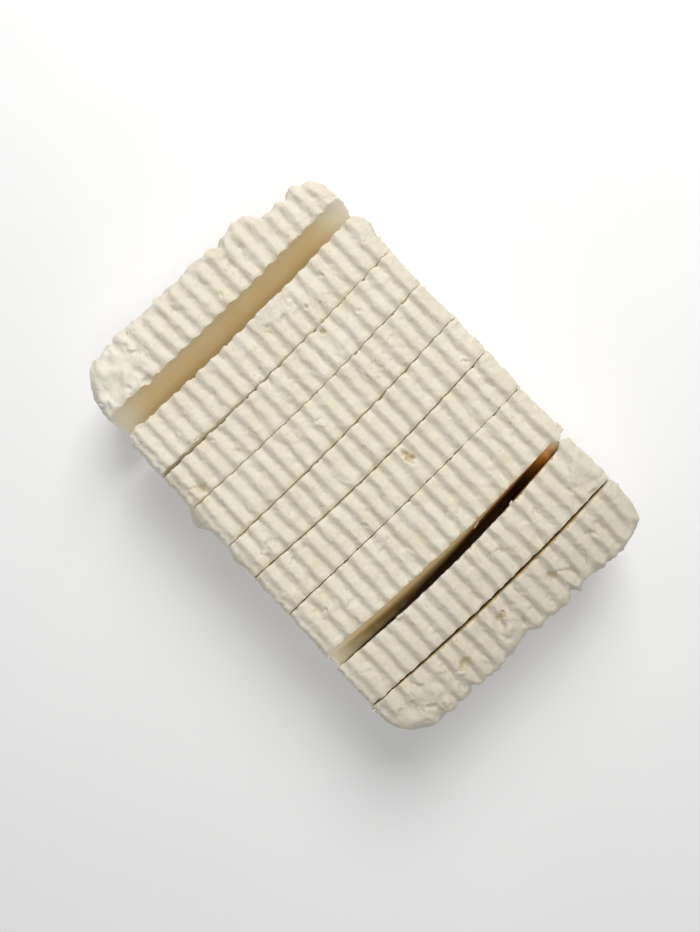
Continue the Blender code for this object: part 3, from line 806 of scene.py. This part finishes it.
class Nodes:
    """Short forms for building a material's node tree."""

    def __init__(self, name):
        self.material = bpy.data.materials.new(name)
        self.material.use_nodes = True
        self.tree = self.material.node_tree
        self.shader = self.tree.nodes["Principled BSDF"]

    def add(self, kind, **values):
        node = self.tree.nodes.new(kind)
        for name, value in values.items():
            setattr(node, name, value)
        return node

    def link(self, output, target):
        self.tree.links.new(output, target)

    def place(self, stretch=(1.0, 1.0, 1.0)):
        """Object coordinates, stretched."""
        coordinates = self.add("ShaderNodeTexCoord")
        mapping = self.add("ShaderNodeMapping")
        mapping.inputs["Scale"].default_value = stretch
        self.link(coordinates.outputs["Object"], mapping.inputs["Vector"])
        return mapping.outputs["Vector"]

    def noise(self, size, detail=3.0, roughness=0.55, stretch=(1.0, 1.0, 1.0)):
        """Noise from 0 to 1 in lumps of this size, with finer ones by its detail."""
        node = self.add("ShaderNodeTexNoise")
        node.inputs["Scale"].default_value = 1.0 / size
        node.inputs["Detail"].default_value = detail
        node.inputs["Roughness"].default_value = roughness
        self.link(self.place(stretch), node.inputs["Vector"])
        return node.outputs["Fac"]

    def direction(self, way):
        """How far along a direction each point lies."""
        product = self.add("ShaderNodeVectorMath", operation="DOT_PRODUCT")
        self.link(self.place(), product.inputs[0])
        product.inputs[1].default_value = way
        return product.outputs["Value"]

    def spread(self, value, low, high, to_low=0.0, to_high=1.0):
        """A value's range from low to high, spread smoothly from to_low to to_high."""
        node = self.add("ShaderNodeMapRange")
        node.interpolation_type = "SMOOTHSTEP"
        ends = {"From Min": low, "From Max": high, "To Min": to_low, "To Max": to_high}
        for name, number in ends.items():
            node.inputs[name].default_value = number
        self.link(value, node.inputs["Value"])
        return node.outputs["Result"]

    def mix(self, share, first, second):
        """A colour between two, each a colour or a node's output."""
        node = self.add("ShaderNodeMix", data_type="RGBA")
        for number, value in ((MIX_SHARE, share), (MIX_FIRST, first), (MIX_SECOND, second)):
            socket = node.inputs[number]
            if isinstance(value, bpy.types.NodeSocket):
                self.link(value, socket)
            else:
                socket.default_value = value
        return node.outputs[MIX_COLOUR]

    def bump(self, height, distance, strength=1.0, before=None):
        node = self.add("ShaderNodeBump")
        node.inputs["Strength"].default_value = strength
        node.inputs["Distance"].default_value = distance
        self.link(height, node.inputs["Height"])
        if before is not None:
            self.link(before, node.inputs["Normal"])
        return node.outputs["Normal"]

    def attribute(self, name):
        return self.add("ShaderNodeAttribute", attribute_name=name).outputs["Fac"]

    def translucent(self, weight, radius, scale):
        self.shader.inputs["Subsurface Weight"].default_value = weight
        self.shader.inputs["Subsurface Radius"].default_value = radius
        self.shader.inputs["Subsurface Scale"].default_value = scale

    def surface(self, colour, roughness, normal=None):
        """Links the material's colour, roughness and normal."""
        self.link(colour, self.shader.inputs["Base Color"])
        self.link(roughness, self.shader.inputs["Roughness"])
        if normal is not None:
            self.link(normal, self.shader.inputs["Normal"])


def skin_material():
    """Pressed curd: creamy white, a little translucent and moist; crevices yellower, with painted
    shade.
    """
    nodes = Nodes("pressed_curd")
    clouds = nodes.spread(nodes.noise(9.0 * MM, detail=4.0), 0.35, 0.68)
    spots = nodes.spread(nodes.noise(2.4 * MM, detail=5.0, roughness=0.6), 0.52, 0.74, to_high=0.4)
    # painted shade with a yellower tint in the curd's crevices, and painted shade on flakes deep in
    # a cut
    crevices = nodes.spread(nodes.attribute("crevice"), 0.1, 1.0, to_high=0.75)
    colour = nodes.mix(clouds, CREAM, PALE_CREAM)
    # painted shade, greyer towards the last end
    colour = nodes.mix(nodes.spread(nodes.direction(SHADE_WAY), *SHADE_FROM), colour, SHADED_CREAM)
    colour = nodes.mix(nodes.spread(nodes.direction(WHITE_WAY), *WHITE_FROM), colour, WHITE_CREAM)
    colour = nodes.mix(crevices, nodes.mix(spots, colour, WHEY), CREVICE_TINT_AND_SHADE)
    roughness = nodes.spread(nodes.noise(3.0 * MM), *MOST, *SKIN_ROUGHNESS)
    grain = nodes.bump(nodes.noise(0.5 * MM, detail=4.0, roughness=0.6), 0.08 * MM, strength=0.7)
    pebbles = nodes.bump(nodes.noise(1.4 * MM), 0.15 * MM, strength=0.6, before=grain)
    nodes.surface(colour, roughness, pebbles)
    nodes.shader.inputs["Specular IOR Level"].default_value = 0.3
    nodes.translucent(weight=0.25, radius=(1.0, 0.62, 0.3), scale=0.9 * MM)
    return nodes.material


def cut_material():
    """Knife-cut face: smooth, moist, yellower, faint knife lines, paler edges, painted light and
    shade.
    """
    nodes = Nodes("cut_curd")
    clouds = nodes.spread(nodes.noise(7.0 * MM, detail=4.0), *MOST)
    colour = nodes.mix(clouds, CUT_BODY, CUT_DEEP)
    colour = nodes.mix(nodes.spread(nodes.attribute("rind_and_lit_band"), 0.0, 1.0), colour, CUT_EDGE)
    # painted shade in a closed cut
    colour = nodes.mix(nodes.spread(nodes.attribute("closed_cut_shade"), 0.0, 1.0), colour, OLIVE_SHADE)
    # painted shade in the second open cut: warm at first, then deep
    colour = nodes.mix(nodes.spread(nodes.attribute("dark"), 0.0, 0.5), colour, WARM_GAP_SHADE)
    colour = nodes.mix(nodes.spread(nodes.attribute("dark"), 0.5, 1.0), colour, DARK)
    roughness = nodes.spread(nodes.noise(2.0 * MM), *MOST, *CUT_ROUGHNESS)
    lines = nodes.noise(1.2 * MM, roughness=0.5, stretch=KNIFE_STRETCH)
    knife = nodes.bump(lines, 0.1 * MM, strength=0.6)
    waves = nodes.bump(nodes.noise(2.6 * MM, detail=4.0), 0.12 * MM, strength=0.6, before=knife)
    nodes.surface(colour, roughness, waves)
    nodes.shader.inputs["Specular IOR Level"].default_value = 0.35
    nodes.translucent(weight=0.35, radius=(1.0, 0.6, 0.28), scale=1.2 * MM)
    return nodes.material


def floor_material():
    nodes = Nodes("pale_floor")
    clouds = nodes.spread(nodes.noise(90.0 * MM), *MOST)
    roughness = nodes.spread(nodes.noise(20.0 * MM), *MOST, *FLOOR_ROUGHNESS)
    nodes.surface(nodes.mix(clouds, FLOOR_GREY, FLOOR_WHITE), roughness)
    return nodes.material


# -------------------------------------------------------------------------------------------------
# The pieces
# -------------------------------------------------------------------------------------------------
def add_object(name, data):
    made = bpy.data.objects.new(name, data)
    bpy.context.scene.collection.objects.link(made)
    return made


def add_slices():
    skin, cut = skin_material(), cut_material()
    for number, (back, front) in enumerate(cut_edges(), start=1):
        mesh = Slice(number, back, front).build()
        mesh.materials.append(skin)
        mesh.materials.append(cut)
        piece = add_object(f"halloumi_slice_{number}", mesh)
        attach(piece, "root")
        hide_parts(f"slice_{number}")


# -------------------------------------------------------------------------------------------------
# Floor, light and camera
# -------------------------------------------------------------------------------------------------
FLOOR_SIZE = 3.0
VIEW_MIDDLE = Vector((-3.9 * MM, -0.6 * MM, HEIGHT))
CAMERA_RIGHT = Vector((0.7238, -0.6900, 0.0))
CAMERA_HEIGHT = 190.0 * MM  # above the ridged face
CLIP_START = 10.0 * MM
FOCAL_PIXELS, IMAGE_HEIGHT_PIXELS, SENSOR_MM = 791.0, 932.0, 36.0
LIGHT_COLOUR = (1.0, 0.995, 0.985)
SKY_COLOUR, SKY_STRENGTH = (0.98, 0.99, 1.0, 1.0), 0.22


def add_floor():
    mesh = bpy.data.meshes.new("floor")
    half = FLOOR_SIZE / 2
    corners = [(-half, -half, 0), (half, -half, 0), (half, half, 0), (-half, half, 0)]
    mesh.from_pydata(corners, [], [(0, 1, 2, 3)])
    mesh.materials.append(floor_material())
    add_object("floor", mesh)


def add_area_light(name, direction, distance, size, power):
    """A square soft light that looks at the block from a direction."""
    light = bpy.data.lights.new(name, "AREA")
    light.shape = "SQUARE"
    light.size = size
    light.energy = power
    light.color = LIGHT_COLOUR
    lamp = add_object(name, light)
    direction = Vector(direction).normalized()
    lamp.location = direction * distance
    lamp.rotation_euler = direction.to_track_quat("Z", "Y").to_euler()


def add_light():
    add_area_light("key", (0.855, 0.72, 1.176), distance=0.6, size=0.35, power=2.58)
    add_area_light("overhead", (-0.1, -0.25, 1.0), distance=1.1, size=0.5, power=2.95)
    world = bpy.data.worlds.new("studio")
    world.use_nodes = True
    background = world.node_tree.nodes["Background"]
    background.inputs["Color"].default_value = SKY_COLOUR
    background.inputs["Strength"].default_value = SKY_STRENGTH
    bpy.context.scene.world = world
    bpy.context.scene.view_settings.view_transform = "Standard"


def add_camera():
    camera = bpy.data.cameras.new("camera")
    camera.lens = SENSOR_MM * FOCAL_PIXELS / IMAGE_HEIGHT_PIXELS
    camera.sensor_width = SENSOR_MM
    camera.clip_start = CLIP_START
    holder = add_object("camera", camera)
    back = Vector((0.0, 0.0, 1.0))
    turn = Matrix((CAMERA_RIGHT, back.cross(CAMERA_RIGHT), back)).transposed().to_4x4()
    holder.matrix_world = Matrix.Translation(VIEW_MIDDLE + CAMERA_HEIGHT * back) @ turn
    bpy.context.scene.camera = holder


add_camera()
add_slices()
add_floor()
add_light()
